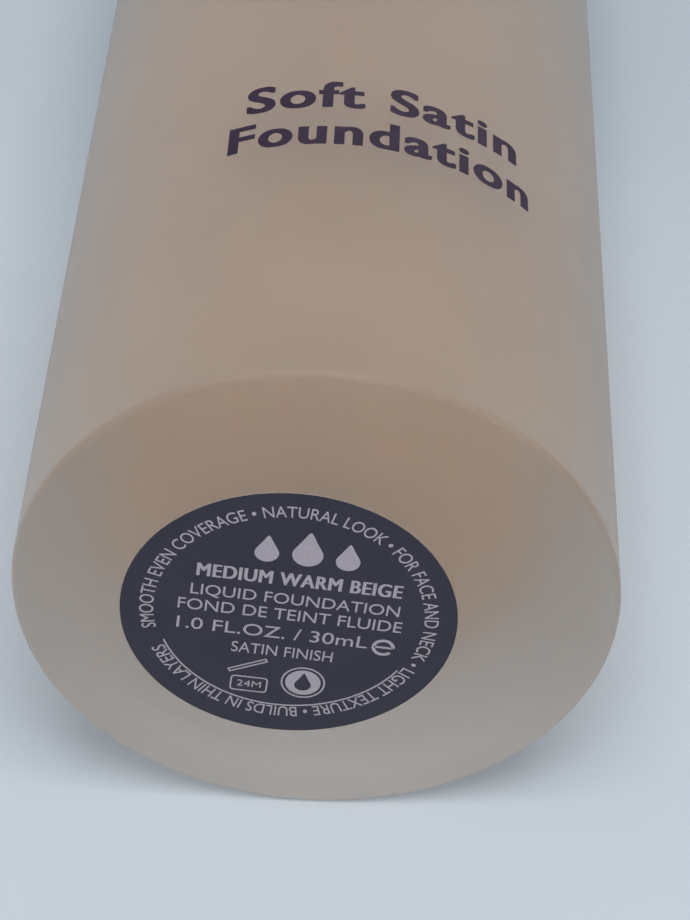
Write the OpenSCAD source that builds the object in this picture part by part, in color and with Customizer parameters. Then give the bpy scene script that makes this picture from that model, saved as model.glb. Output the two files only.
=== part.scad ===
// A 30 mL foundation bottle: a round glass bottle with a thick base, a screwed-on
// treatment pump and a lift-off overcap. It stands on its base, with the origin at
// the middle of the base, +Z towards the cap and the front, with the spout, at -Y.

/* [Glass bottle] */
// Outer diameter of the glass body and of the overcap
body_d = 34; // [32:0.5:44]
// Height of the glass body, from what it stands on to its shoulder
body_h = 66; // [54:1:90]
// Thickness of the side wall
wall = 3.1; // [2:0.1:4]
// Thickness of the solid glass base
base_t = 6; // [3:0.5:9]
// Thickness of the glass at the shoulder
shoulder_t = 3.2; // [2:0.1:5]
// Rounding of the shoulder's outer edge
shoulder_r = 2.5; // [1:0.25:4]
// Rounding of the base's outer edge
base_edge_r = 0.4; // [0.2:0.1:1]
// Depth of the shallow hollow under the base
base_hollow = 0.3; // [0.2:0.05:0.6]
// Width of the flat ring that the bottle stands on
base_ring_w = 1.2; // [0.6:0.1:2.5]
// Rounding of the cavity's lower corner
cavity_corner_r = 7; // [1:0.25:9]
// Air between the liquid and the cavity's ceiling
headspace = 5; // [2:0.5:15]

/* [Neck and thread] */
// Gap between the pump's barrel and the hole through the neck
neck_play = 0.9; // [0.4:0.1:1.6]
// Thickness of the neck's glass, at the root of its thread
neck_wall = 3; // [2:0.1:4]
// Height of the neck above the shoulder
neck_h = 12; // [11:0.5:16]
// Rise of the thread in one turn
thread_pitch = 3.175; // [2.7:0.025:3.5]
// Turns of thread on the neck
thread_turns = 1.5; // [1:0.25:1.75]
// How far a thread stands out
thread_h = 1; // [0.6:0.05:1.2]

/* [Base label] */
// Diameter of the round label under the base
label_d = 19; // [12:0.5:21]
// Thickness of the label
label_t = 0.12; // [0.05:0.01:0.2]
// How far the label sits to the side of the middle
label_x = -1.25; // [-2:0.05:2]
// How far the label sits behind the middle
label_y = 1.5; // [-2:0.05:2]

/* [Pump] */
// Travel of the button
stroke = 4.5; // [3:0.25:6]
// Diameter that the piston slides in
barrel_bore_d = 8; // [7:0.1:10]
// Wall of the pump's barrel
barrel_wall = 0.9; // [0.6:0.05:1.2]
// Outer diameter of the stem
stem_d = 4.4; // [3.6:0.1:5.2]
// Diameter of the channel in the stem
stem_bore_d = 2.2; // [1.4:0.1:2.6]
// Diameter of the check ball
ball_d = 3; // [2.4:0.1:3.4]
// How far the check ball lifts
ball_lift = 0.8; // [0.4:0.1:1.4]
// How far the piston slips on the stem, which opens the outlet
piston_slip = 0.5; // [0.3:0.05:0.9]
// Height of the piston
piston_h = 5; // [3.5:0.25:6]
// Diameter of the spring's wire
wire_d = 0.55; // [0.4:0.05:0.7]
// Turns of the spring
spring_turns = 6; // [5:0.5:8]
// Outer diameter of the dip tube
tube_d = 3.8; // [3:0.1:4.4]
// Wall of the dip tube
tube_wall = 0.5; // [0.3:0.05:0.7]
// Height of the dip tube's end above the cavity's floor
tube_clear = 1.2; // [0.8:0.1:6]
// Thickness of the gasket on the neck
gasket_t = 1; // [0.6:0.1:1.6]
// Thickness of the barrel's flange
flange_t = 1.2; // [0.8:0.1:2]

/* [Collar] */
// Wall of the threaded closure
closure_wall = 1.3; // [1:0.1:1.8]
// Thickness of the closure's top
closure_top_t = 1.4; // [1:0.1:2]
// Wall of the outer sleeve
sleeve_wall = 0.8; // [0.5:0.1:1.2]
// Thickness of the rim that the overcap stands on
rim_t = 1.2; // [0.8:0.1:2.5]
// How far the rim lies inside the glass body's side
rim_inset = 0.2; // [0:0.1:1.5]

/* [Actuator] */
// Diameter of the button
button_d = 16.6; // [14.6:0.2:18]
// Height of the button
button_h = 14; // [13:0.5:18]
// Wall of the button's outer shell
button_wall = 0.8; // [0.6:0.1:1]
// Depth of the finger hollow in the button's top
finger_hollow = 0.7; // [0.2:0.1:1]
// Diameter of the spout
spout_d = 5.2; // [4.4:0.1:6]
// Diameter of the hole along the spout
spout_bore_d = 3.6; // [3:0.1:4]
// Diameter of the outlet in the nozzle insert
outlet_d = 1.2; // [0.6:0.1:1.8]

/* [Overcap] */
// Wall of the overcap's shell
cap_wall = 1.3; // [0.9:0.1:1.6]
// Thickness of the overcap's top
cap_top_t = 1.6; // [1:0.1:3]
// Rounding of the overcap's top edge
cap_edge_r = 0.8; // [0.2:0.1:1.4]
// Wall of the liner inside the overcap
liner_wall = 0.8; // [0.6:0.1:1.2]
// Height of the liner
liner_h = 12; // [8:0.5:14]
// Ribs round the liner
liner_ribs = 12; // [6:1:18]
// Air between the button and the overcap's ceiling
cap_headroom = 1.2; // [0.6:0.1:4]

/* [Fits] */
// Gap round a piece that slides or turns in another
slide_gap = 0.05; // [0.03:0.01:0.08]
// Gap round a piece that passes another loosely
loose_gap = 0.3; // [0.2:0.05:0.5]
// Gap between the crest of one thread and the root of the other
thread_gap = 0.25; // [0.2:0.05:0.35]

/* [Hidden] */
$fn = 96;
// Overlap of pieces of one solid, and of cutters with what they cut
joined = 0.2;

// Glass bottle
body_r = body_d / 2;
cavity_r = body_r - wall;
ceiling_z = body_h - shoulder_t;
fill_z = ceiling_z - headspace;
barrel_bore_r = barrel_bore_d / 2;
barrel_r = barrel_bore_r + barrel_wall;
neck_bore_r = barrel_r + neck_play;
neck_r = neck_bore_r + neck_wall;
neck_top_z = body_h + neck_h;
neck_fillet = 0.8;
lip_r = 0.4;
throat_r = 1;
ceiling_r = 3;
label_room = 1.2;
hollow_flat_r = label_d / 2 + norm([label_x, label_y]) + label_room;
hollow_ramp_r = body_r - base_edge_r - base_ring_w;

// Threads: the neck's, and the closure's half a turn away from it
thread_root_w = 2.1;
thread_crest_w = 0.9;
thread_start_z = body_h + 3.4;
thread_sunk = 0.3;
thread_steps = 36;
thread_fade = 30;
closure_bore_r = neck_r + thread_h + thread_gap;
closure_turns = 1.25;

// Levels of the collar, from the neck up
gasket_top_z = neck_top_z + gasket_t;
flange_top_z = gasket_top_z + flange_t;
closure_top_z = flange_top_z + closure_top_t;
closure_lift = 1;
closure_bottom_z = body_h + closure_lift;
closure_r = closure_bore_r + closure_wall;
closure_ribs = 18;
rib_w = 0.6;
rib_h = 0.3;
rib_end = 0.5;
sleeve_bore_r = closure_r + rib_h + slide_gap;
sleeve_r = sleeve_bore_r + sleeve_wall;
rim_gap = 0.4;
rim_z = body_h + rim_gap;
rim_edge = 0.2;
rim_top_z = rim_z + rim_t;
rim_r = body_r - rim_inset;
sleeve_top_z = closure_top_z + sleeve_wall;

// Pump, from the flange down
stem_r = stem_d / 2;
stem_bore_r = stem_bore_d / 2;
flange_r = neck_r - loose_gap;
chaplet_wall = 1.1;
chaplet_r = barrel_r + chaplet_wall;
chaplet_edge = 0.4;
upstand_h = 2.2;
upstand_z = flange_top_z + upstand_h;
chaplet_top_t = 1.2;
chaplet_top_z = upstand_z + chaplet_top_t;
guide_h = 3.2;
guide_z = flange_top_z - guide_h;
guide_r = stem_r + slide_gap + chaplet_wall;
stem_collar_w = 1.1;
stem_collar_h = 1;
stem_collar_r = stem_r + stem_collar_w;
stem_collar_top_z = guide_z - slide_gap;
stem_collar_z = stem_collar_top_z - stem_collar_h;
stem_edge = 0.3;
seal_gap = 0.02;
piston_gap = 0.03;
piston_top_z = stem_collar_z - piston_slip - slide_gap;
piston_z = piston_top_z - piston_h;
seat_top_z = piston_z - seal_gap;
seat_t = 1;
seat_z = seat_top_z - seat_t;
seat_clear = 0.8;
seat_edge = 0.3;
seat_r = barrel_bore_r - seat_clear;
seat_shaft_h = 3.6;
stem_end_gap = 0.6;
stem_end_z = seat_top_z + stem_end_gap;
wire_r = wire_d / 2;
spring_clear = 1.3;
spring_r = barrel_bore_r - spring_clear;
spring_slack = 0.6;
spring_z = seat_z - stroke - spring_turns * wire_d - spring_slack;
ball_r = ball_d / 2;
cage_clear = 0.4;
cage_r = ball_r + cage_clear;
cage_nub_t = 0.4;
cage_nub_w = 0.8;
cage_nub_r = ball_r * 0.75;
ball_top_z = spring_z - cage_nub_t - ball_lift - slide_gap;
ball_z = ball_top_z - ball_r;
cone_apex_z = ball_z - (ball_r + seal_gap) * sqrt(2);
inlet_r = ball_r * 0.6;
inlet_h = 1.2;
tube_r = tube_d / 2;
socket_top_z = cone_apex_z + inlet_r - inlet_h;
socket_h = 5.5;
socket_z = socket_top_z - socket_h;
socket_r = tube_r + barrel_wall;
barrel_end_z = cone_apex_z + cage_r;
tube_end_z = base_t + tube_clear;
vent_r = 0.4;
vent_z = guide_z - 0.6;

// Actuator
button_r = button_d / 2;
button_z = closure_top_z + stroke + loose_gap;
button_top_z = button_z + button_h;
button_edge_r = 0.8;
guard_r = button_r + loose_gap;
guard_overlap = 0.6;
guard_top_z = button_z + guard_overlap;
button_top_t = 1.2;
button_roof_z = button_top_z - finger_hollow - button_top_t;
spout_r = spout_d / 2;
spout_bore_r = spout_bore_d / 2;
spout_z = guard_top_z + stroke + loose_gap + spout_r;
spout_inset = 0.9;
spout_tip = sleeve_r - spout_inset;
spout_edge_r = 0.5;
insert_y = button_r + 0.1;
outlet_r = outlet_d / 2;
socket_wall = 1.1;
swivel_r = stem_r + slide_gap;
hub_r = swivel_r + socket_wall;
hub_z = chaplet_top_z + stroke + loose_gap;
channel_r = 0.9;
stem_top_z = spout_z - channel_r - 1;

// Overcap
cap_z = rim_top_z + slide_gap;
cap_ceiling_z = button_top_z + cap_headroom;
cap_top_z = cap_ceiling_z + cap_top_t;
cap_bore_r = body_r - cap_wall;
liner_bore_r = sleeve_r + slide_gap;
liner_r = liner_bore_r + liner_wall;
liner_z = cap_z + 0.6;
liner_rib_w = 0.8;

// Points along an arc about [x, z]
function arc(x, z, r, from, to, steps = 6) =
    [for (i = [0:steps]) let (a = from + (to - from) * i / steps)
        [x + r * cos(a), z + r * sin(a)]];

// Points along a smooth ramp between two places, level at both ends
function ramp(x0, z0, x1, z1, steps = 8) =
    [for (i = [0:steps]) let (t = i / steps)
        [x0 + (x1 - x0) * t, z0 + (z1 - z0) * (1 - cos(180 * t)) / 2]];

// A closed tube of quads through rings of points, all with the same number of sides
function tube_faces(rings, sides) = concat(
    [[for (j = [sides - 1:-1:0]) j]],
    [for (i = [0:rings - 2], j = [0:sides - 1]) let (k = (j + 1) % sides)
        each [[i * sides + j, i * sides + k, (i + 1) * sides + k],
            [i * sides + j, (i + 1) * sides + k, (i + 1) * sides + j]]],
    [[for (j = [0:sides - 1]) (rings - 1) * sides + j]]);

// A solid turned about Z from its half outline
module turned(points) {
    rotate_extrude() polygon(points);
}

// A tube between two heights
module ring(outer_r, inner_r, bottom, top) {
    turned([[inner_r, bottom], [outer_r, bottom], [outer_r, top], [inner_r, top]]);
}

// A right-hand helical ridge. It grows out of a wall at wall_r, outwards when side
// is 1 and inwards when side is -1, and sinks back into the wall at both ends.
module thread(wall_r, side, turns, start_z, start_angle) {
    steps = round(turns * thread_steps);
    fade_steps = thread_fade / 360 * thread_steps;
    root = wall_r - side * thread_sunk;
    points = [for (i = [0:steps])
        let (a = start_angle + 360 * turns * i / steps,
            z = start_z + thread_pitch * turns * i / steps,
            grown = min(1, (i + 0.4) / fade_steps, (steps - i + 0.4) / fade_steps),
            crest = root + side * (thread_h + thread_sunk) * grown,
            crest_half = thread_crest_w / 2 + (1 - grown) * 0.3)
        each [for (p = [[root, -side * thread_root_w / 2], [crest, -side * crest_half],
                [crest, side * crest_half], [root, side * thread_root_w / 2]])
            [p[0] * cos(a), p[0] * sin(a), z + p[1]]]];
    polyhedron(points, tube_faces(steps + 1, 4));
}

module glass_bottle() {
    color([0.83, 0.79, 0.75]) union() {
        turned(concat(
            [[0, base_hollow]],
            ramp(hollow_flat_r, base_hollow, hollow_ramp_r, 0),
            arc(body_r - base_edge_r, base_edge_r, base_edge_r, -90, 0, 4),
            arc(body_r - shoulder_r, body_h - shoulder_r, shoulder_r, 0, 90, 10),
            arc(neck_r + neck_fillet, body_h + neck_fillet, neck_fillet, 270, 180, 5),
            arc(neck_r - lip_r, neck_top_z - lip_r, lip_r, 0, 90, 4),
            arc(neck_bore_r + lip_r, neck_top_z - lip_r, lip_r, 90, 180, 4),
            arc(neck_bore_r + throat_r, ceiling_z + throat_r, throat_r, 180, 270, 5),
            arc(cavity_r - ceiling_r, ceiling_z - ceiling_r, ceiling_r, 90, 0, 8),
            arc(cavity_r - cavity_corner_r, base_t + cavity_corner_r, cavity_corner_r,
                0, -90, 10),
            [[0, base_t]]));
        thread(neck_r, 1, thread_turns, thread_start_z, 0);
    }
}

// The liquid keeps clear of the glass and of the whole path of the pump
module foundation_fill() {
    color([0.72, 0.52, 0.38]) difference() {
        turned(concat(
            [[0, base_t + slide_gap]],
            arc(cavity_r - cavity_corner_r, base_t + cavity_corner_r,
                cavity_corner_r - slide_gap, -90, 0, 10),
            [[cavity_r - slide_gap, fill_z], [0, fill_z]]));
        translate([0, 0, tube_end_z - loose_gap])
            cylinder(h = body_h, r = tube_r + loose_gap);
        translate([0, 0, socket_z - loose_gap])
            cylinder(h = body_h, r = socket_r + loose_gap);
        translate([0, 0, barrel_end_z - barrel_r - loose_gap])
            cylinder(h = body_h, r = barrel_r + loose_gap);
    }
}

module base_label() {
    color([0.16, 0.15, 0.2])
        translate([label_x, label_y, base_hollow - label_t])
            cylinder(h = label_t, d = label_d);
}

module neck_gasket() {
    color([0.93, 0.93, 0.91])
        ring(flange_r, barrel_r + loose_gap, neck_top_z, gasket_top_z);
}

// The screwed closure, with grip ribs that hold the sleeve
module closure() {
    color([0.9, 0.89, 0.86]) union() {
        ring(closure_r, closure_bore_r, closure_bottom_z, flange_top_z + joined);
        ring(closure_r, chaplet_r + loose_gap, flange_top_z, closure_top_z);
        // Half a pitch below the neck's thread at every angle
        thread(closure_bore_r, -1, closure_turns, thread_start_z - thread_pitch / 2
            + thread_pitch / 4, 90);
        for (i = [0:closure_ribs - 1])
            rotate([0, 0, i * 360 / closure_ribs])
                translate([closure_r - joined, -rib_w / 2, closure_bottom_z + rib_end])
                    cube([joined + rib_h, rib_w,
                        closure_top_z - closure_bottom_z - 2 * rib_end]);
    }
}

// The outer sleeve: a wide rim, a tube that the overcap grips, and a raised guard
// that the button sinks into
module collar_sleeve() {
    edge = sleeve_wall * 0.6;
    color([0.2, 0.12, 0.17]) turned(concat(
        [[sleeve_bore_r, rim_z], [rim_r - rim_edge, rim_z], [rim_r, rim_z + rim_edge],
            [rim_r, rim_top_z - rim_edge], [rim_r - rim_edge, rim_top_z],
            [sleeve_r, rim_top_z]],
        arc(sleeve_r - edge, sleeve_top_z - edge, edge, 0, 90, 4),
        [[guard_r + sleeve_wall, sleeve_top_z]],
        arc(guard_r + sleeve_wall / 2, guard_top_z - sleeve_wall / 2, sleeve_wall / 2,
            0, 180, 6),
        [[guard_r, closure_top_z], [sleeve_bore_r, closure_top_z]]));
}

// Barrel with its flange, ball seat and cage, and the socket for the dip tube
module pump_housing() {
    color([0.94, 0.94, 0.93]) difference() {
        union() {
            turned([[inlet_r, socket_top_z], [tube_r, socket_top_z], [tube_r, socket_z],
                [socket_r, socket_z], [socket_r, barrel_end_z - barrel_r + socket_r],
                [barrel_r, barrel_end_z], [barrel_r, gasket_top_z],
                [flange_r, gasket_top_z], [flange_r, flange_top_z],
                [barrel_r, flange_top_z], [barrel_r, upstand_z],
                [barrel_bore_r, upstand_z], [barrel_bore_r, spring_z],
                [cage_r, spring_z], [cage_r, cone_apex_z + cage_r],
                [inlet_r, cone_apex_z + inlet_r]]);
            for (i = [0:2])
                rotate([0, 0, i * 120])
                    translate([cage_nub_r, -cage_nub_w / 2, spring_z - cage_nub_t])
                        cube([cage_r - cage_nub_r + joined, cage_nub_w, cage_nub_t]);
        }
        // Vent above the piston, which lets air into the bottle
        translate([0, 0, vent_z]) rotate([90, 0, 0])
            cylinder(h = barrel_r + joined, r = vent_r);
    }
}

module dip_tube() {
    color([0.95, 0.95, 0.93]) difference() {
        ring(tube_r, tube_r - tube_wall, tube_end_z, socket_top_z);
        // Slanted lower end
        translate([0, 0, tube_end_z]) rotate([0, -30, 0])
            translate([-tube_d, -tube_d, -tube_d * 2 - tube_r * 0.5])
                cube(tube_d * 2);
    }
}

module ball_valve() {
    color([0.75, 0.76, 0.78]) translate([0, 0, ball_z]) sphere(r = ball_r);
}

// Height of the spring's wire, from 0 to 1, with a closed turn at each end
function spring_rise(t) =
    let (closed = 1 / spring_turns,
        lift = wire_d / (seat_z - spring_z - wire_d))
    t < closed ? lift * t / closed
    : t > 1 - closed ? 1 - lift * (1 - t) / closed
    : lift + (1 - 2 * lift) * (t - closed) / (1 - 2 * closed);

module return_spring() {
    sides = 8;
    steps = round(spring_turns * 20);
    points = [for (i = [0:steps])
        let (a = 360 * spring_turns * i / steps,
            z = spring_z + wire_r + (seat_z - spring_z - wire_d) * spring_rise(i / steps))
        each [for (j = [0:sides - 1])
            let (r = spring_r + wire_r * cos(j * 360 / sides))
            [r * cos(a), r * sin(a), z + wire_r * sin(j * 360 / sides)]]];
    color([0.72, 0.73, 0.75]) polyhedron(points, tube_faces(steps + 1, sides));
}

// The plug in the stem's end: its flange closes the piston from below, and two
// flats along its shaft let the liquid past
module piston_seat() {
    shaft_top_z = seat_top_z + seat_shaft_h;
    flat = stem_bore_r * 0.7;
    color([0.9, 0.9, 0.92]) union() {
        turned([[0, seat_z], [seat_r - seat_edge, seat_z], [seat_r, seat_z + seat_edge],
            [seat_r, seat_top_z], [0, seat_top_z]]);
        intersection() {
            ring(stem_bore_r, 0, seat_top_z - joined, shaft_top_z);
            translate([-flat, -stem_bore_r, seat_top_z - joined])
                cube([flat * 2, stem_bore_r * 2, shaft_top_z - seat_top_z + joined]);
        }
    }
}

// A sealing ring with a lip at each end of its outer side
module piston() {
    lip_r = barrel_bore_r - piston_gap;
    waist_r = barrel_bore_r - 0.55;
    bore_r = stem_r + slide_gap;
    color([0.85, 0.88, 0.92]) turned([[bore_r, piston_z], [bore_r + 0.5, piston_z],
        [bore_r + 0.6, piston_z + 0.8], [lip_r - 0.35, piston_z + 0.1],
        [lip_r, piston_z + 0.1], [lip_r, piston_z + 0.5], [waist_r, piston_z + 1.4],
        [waist_r, piston_top_z - 1.4], [lip_r, piston_top_z - 0.5],
        [lip_r, piston_top_z - 0.1], [lip_r - 0.35, piston_top_z - 0.1],
        [bore_r + 0.6, piston_top_z - 0.8], [bore_r + 0.5, piston_top_z],
        [bore_r, piston_top_z]]);
}

// Hollow stem, with the collar that stops it under the chaplet
module stem() {
    color([0.93, 0.93, 0.95]) turned([[stem_bore_r, stem_end_z], [stem_r, stem_end_z],
        [stem_r, stem_collar_z], [stem_collar_r, stem_collar_z],
        [stem_collar_r, stem_collar_top_z], [stem_r, stem_collar_top_z],
        [stem_r, stem_top_z - stem_edge], [stem_r - stem_edge, stem_top_z],
        [stem_bore_r, stem_top_z]]);
}

// Snap cap on the barrel's upstand: it guides the stem and holds it in
module chaplet() {
    color([0.95, 0.95, 0.96]) turned([[stem_r + slide_gap, guide_z], [guide_r, guide_z],
        [guide_r, upstand_z], [barrel_r, upstand_z], [barrel_r, flange_top_z],
        [chaplet_r, flange_top_z], [chaplet_r, chaplet_top_z - chaplet_edge],
        [chaplet_r - chaplet_edge, chaplet_top_z], [stem_r + slide_gap, chaplet_top_z]]);
}

// Lays a solid's Z axis along -Y, at the height of the spout
module along_spout() {
    translate([0, 0, spout_z]) rotate([90, 0, 0]) children();
}

// Inner part of the button: the hub on the stem, and the arm to the nozzle
module actuator_core() {
    web_r = button_r - button_wall;
    web_w = 0.9;
    color([0.9, 0.89, 0.9]) difference() {
        union() {
            ring(hub_r, 0, hub_z, button_roof_z);
            ring(web_r, 0, button_roof_z - 1, button_roof_z);
            for (a = [0, 90, 180])
                rotate([0, 0, a])
                    translate([0, -web_w / 2, spout_z - spout_r])
                        cube([web_r - 0.1, web_w, button_roof_z - spout_z + spout_r]);
            along_spout() cylinder(h = insert_y, r = spout_bore_r);
        }
        translate([0, 0, hub_z - joined])
            cylinder(h = stem_top_z + slide_gap - hub_z + joined, r = swivel_r);
        cylinder(h = spout_z, r = channel_r);
        along_spout() cylinder(h = insert_y + joined, r = channel_r);
    }
}

// Outer shell of the button, with its finger hollow and spout
module actuator_shell() {
    hollow_r = button_r - button_edge_r - 0.4;
    color([0.2, 0.12, 0.17]) difference() {
        union() {
            turned(concat(
                [[0, button_z], [button_r - 0.2, button_z], [button_r, button_z + 0.2]],
                arc(button_r - button_edge_r, button_top_z - button_edge_r,
                    button_edge_r, 0, 90, 6),
                ramp(hollow_r, button_top_z, 0, button_top_z - finger_hollow, 12)));
            along_spout() turned(concat([[0, 0]], [[spout_r, 0]],
                arc(spout_r - spout_edge_r, spout_tip - spout_edge_r, spout_edge_r,
                    0, 90, 4), [[0, spout_tip]]));
        }
        translate([0, 0, button_z - joined])
            cylinder(h = button_roof_z - button_z + joined, r = button_r - button_wall);
        along_spout() cylinder(h = spout_tip + joined, r = spout_bore_r);
    }
}

module nozzle_insert() {
    color([0.93, 0.92, 0.93]) along_spout()
        turned([[outlet_r, insert_y], [spout_bore_r, insert_y],
            [spout_bore_r, spout_tip - 0.2], [outlet_r + 0.3, spout_tip - 0.2],
            [outlet_r, spout_tip - 0.6]]);
}

module overcap_shell() {
    inner_edge_r = 0.5;
    color([0.2, 0.12, 0.17]) turned(concat(
        [[cap_bore_r, cap_z + 0.2], [cap_bore_r + 0.2, cap_z], [body_r - 0.3, cap_z],
            [body_r, cap_z + 0.3]],
        arc(body_r - cap_edge_r, cap_top_z - cap_edge_r, cap_edge_r, 0, 90, 6),
        [[0, cap_top_z], [0, cap_ceiling_z]],
        arc(cap_bore_r - inner_edge_r, cap_ceiling_z - inner_edge_r, inner_edge_r,
            90, 0, 4)));
}

// The liner grips the collar's sleeve, and its ribs and rim fill the shell
module overcap_liner() {
    rim_h = 1;
    color([0.92, 0.92, 0.93]) union() {
        turned([[liner_bore_r + 0.3, liner_z], [cap_bore_r, liner_z],
            [cap_bore_r, liner_z + rim_h], [liner_r, liner_z + rim_h],
            [liner_r, liner_z + liner_h], [liner_bore_r, liner_z + liner_h],
            [liner_bore_r, liner_z + 0.3]]);
        intersection() {
            ring(cap_bore_r, liner_r - joined, liner_z + joined, liner_z + liner_h - 1);
            for (i = [0:liner_ribs - 1])
                rotate([0, 0, (i + 0.5) * 360 / liner_ribs])
                    translate([0, -liner_rib_w / 2, liner_z])
                        cube([body_r, liner_rib_w, liner_h]);
        }
    }
}

glass_bottle();
foundation_fill();
base_label();
neck_gasket();
closure();
collar_sleeve();
pump_housing();
dip_tube();
ball_valve();
return_spring();
piston_seat();
piston();
stem();
chaplet();
actuator_core();
actuator_shell();
nozzle_insert();
overcap_shell();
overcap_liner();
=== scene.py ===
"""The looks of a foundation bottle: its frosted glass, liquid, print, label, pump and overcap."""

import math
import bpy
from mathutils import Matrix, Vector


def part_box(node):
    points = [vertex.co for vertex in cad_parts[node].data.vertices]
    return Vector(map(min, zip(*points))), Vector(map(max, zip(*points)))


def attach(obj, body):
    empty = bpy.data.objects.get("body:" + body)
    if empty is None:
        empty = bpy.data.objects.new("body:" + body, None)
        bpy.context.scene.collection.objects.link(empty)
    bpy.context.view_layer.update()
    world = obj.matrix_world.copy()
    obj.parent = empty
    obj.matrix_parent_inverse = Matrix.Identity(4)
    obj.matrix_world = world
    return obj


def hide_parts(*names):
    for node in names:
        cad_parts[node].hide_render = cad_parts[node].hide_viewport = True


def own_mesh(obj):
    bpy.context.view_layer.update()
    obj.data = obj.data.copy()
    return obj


bl_info = {
    "name": "Foundation Bottle",
    "version": (1, 0, 0),
    "blender": (4, 5, 0),
    "location": "View3D > Sidebar > Foundation Bottle",
    "description": "Fills, prints and finishes a round glass foundation bottle and its pump",
    "category": "Object",
}

import bmesh
import bpy
import numpy as np
from bpy.props import (
    FloatProperty,
    FloatVectorProperty,
    IntProperty,
    PointerProperty,
    StringProperty,
)
from mathutils import Quaternion, Vector

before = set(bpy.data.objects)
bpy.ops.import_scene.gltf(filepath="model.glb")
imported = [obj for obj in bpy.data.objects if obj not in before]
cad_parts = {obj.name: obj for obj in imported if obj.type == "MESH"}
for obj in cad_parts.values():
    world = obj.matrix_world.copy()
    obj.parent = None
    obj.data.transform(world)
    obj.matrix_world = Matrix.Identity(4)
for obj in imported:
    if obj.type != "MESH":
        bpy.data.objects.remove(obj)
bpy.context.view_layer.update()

MM = 0.001

# Places that the frame gives
BODY_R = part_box("glass_bottle")[1].x
LABEL_LOW, LABEL_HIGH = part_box("base_label")
LABEL_CENTRE = (LABEL_LOW + LABEL_HIGH) / 2
FILL_LOW, FILL_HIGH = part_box("foundation_fill")
TUBE_LOW, TUBE_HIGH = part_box("dip_tube")
PUMP_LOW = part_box("pump_housing")[0]
SPRING_LOW, SPRING_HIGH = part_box("return_spring")

# The Mix node's colour sockets, which share their names with its other kinds of socket
COLOUR_A, COLOUR_B, COLOUR_OUT = 6, 7, 2
# Points along the liquid's surface, its lower corner and its wall, and round the bottle
SURFACE_POINTS, CORNER_POINTS, WALL_POINTS, ROUND_POINTS = 40, 16, 20, 128
# How far the liquid climbs the pump's barrel, as a share of its climb up the glass
BARREL_CLIMB = 0.6
# White adhesive on the label's back, and how far below the back it is whole and gone, in millimetres
ADHESIVE, ADHESIVE_TOP, ADHESIVE_FOOT = (0.80, 0.79, 0.76), 0.01, 0.02
# Share of the ink's thickness that lies below the face it is printed on
INK_BITE = 0.4
# A bold letter's strikes, and how much lower each lies than the last, as a share of the ink's thickness
STRIKES, STRIKE_DROP = 3, 0.06
# The even steps at which letters are cut before they bend, on the side and in the label's ring
SIDE_CUT, RING_CUT = 0.4 * MM, 0.15 * MM
# The two sets of scratches: the line that the cuts stand across, and the size of their breaks in spacings
SCRATCH_SETS = (((0.50, 0.30, 0.81), 1.7), ((-0.70, 0.60, 0.39), 2.6))
# How far the stage's sheets reach, and the hair by which the floor lies below the base, so that from below
# the base is seen in front of it
STAGE_REACH, FLOOR_GAP = 1.5, 0.03 * MM
# The soft lamps: name, power, size, place and aim
MIDDLE = (0, 0, 40 * MM)
LAMPS = (
    ("front_lamp", 0.64, 0.22, (-0.035, -0.32, -0.12), (0, 0, 10 * MM)),
    ("top_lamp", 0.06, 0.25, (-0.03, -0.24, 0.32), MIDDLE),
    ("left_lamp", 0.08, 0.20, (-0.36, -0.05, 0.10), MIDDLE),
    ("high_lamp", 0.45, 0.20, (0.09, 0.00, 0.52), MIDDLE),
)


# ---------------------------------------------------------------- settings


class LiquidSettings(bpy.types.PropertyGroup):
    """The foundation inside the glass."""

    colour: FloatVectorProperty(
        name="Colour", description="Colour of the foundation", subtype="COLOR", min=0, max=1,
        default=(0.66, 0.409, 0.221))
    corner: FloatProperty(
        name="Lower corner", description="Rounding of the cavity's lower corner",
        default=7 * MM, unit="LENGTH")
    wetting: FloatProperty(
        name="Wetting", default=0.07 * MM, unit="LENGTH",
        description="How far the liquid sinks into the glass, so that no air shows between them")
    meniscus: FloatProperty(
        name="Meniscus", description="How far the liquid climbs where it meets a wall",
        default=0.7 * MM, unit="LENGTH")
    channel: FloatProperty(
        name="Channel clearance", description="Room between the liquid and the pump",
        default=0.3 * MM, unit="LENGTH")
    barrel: FloatProperty(
        name="Barrel radius", description="Outer radius of the pump's barrel",
        default=4.9 * MM, unit="LENGTH")


class PrintSettings(bpy.types.PropertyGroup):
    """The two lines printed on the side."""

    first_words: StringProperty(
        name="First line", description="Words of the upper line", default="Soft Satin")
    second_words: StringProperty(
        name="Second line", description="Words of the lower line", default="Foundation")
    first_width: FloatProperty(
        name="First width", description="Length of the upper line round the glass",
        default=16.9 * MM, unit="LENGTH")
    second_width: FloatProperty(
        name="Second width", description="Length of the lower line round the glass",
        default=18.7 * MM, unit="LENGTH")
    first_height: FloatProperty(
        name="First height", description="Height of the upper line's foot above the base",
        default=23.9 * MM, unit="LENGTH")
    second_height: FloatProperty(
        name="Second height", description="Height of the lower line's foot above the base",
        default=20.25 * MM, unit="LENGTH")
    capital: FloatProperty(
        name="Capital height", description="Height of a capital letter", default=2.42 * MM, unit="LENGTH")
    grow: FloatProperty(
        name="Grow", default=0.015,
        description="How far each letter's outline is grown, as a share of its size")
    bold: FloatProperty(
        name="Bold", description="How much wider the upright strokes are made",
        default=0.16 * MM, unit="LENGTH")
    space: FloatProperty(
        name="Letter space", description="Pitch of the letters, as a share of the font's own", default=1.13)
    film: FloatProperty(
        name="Ink film", description="Thickness of the printed ink", default=0.03 * MM, unit="LENGTH")
    colour: FloatVectorProperty(
        name="Colour", description="Colour of the ink", subtype="COLOR", min=0, max=1,
        default=(0.030, 0.012, 0.040))


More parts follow.
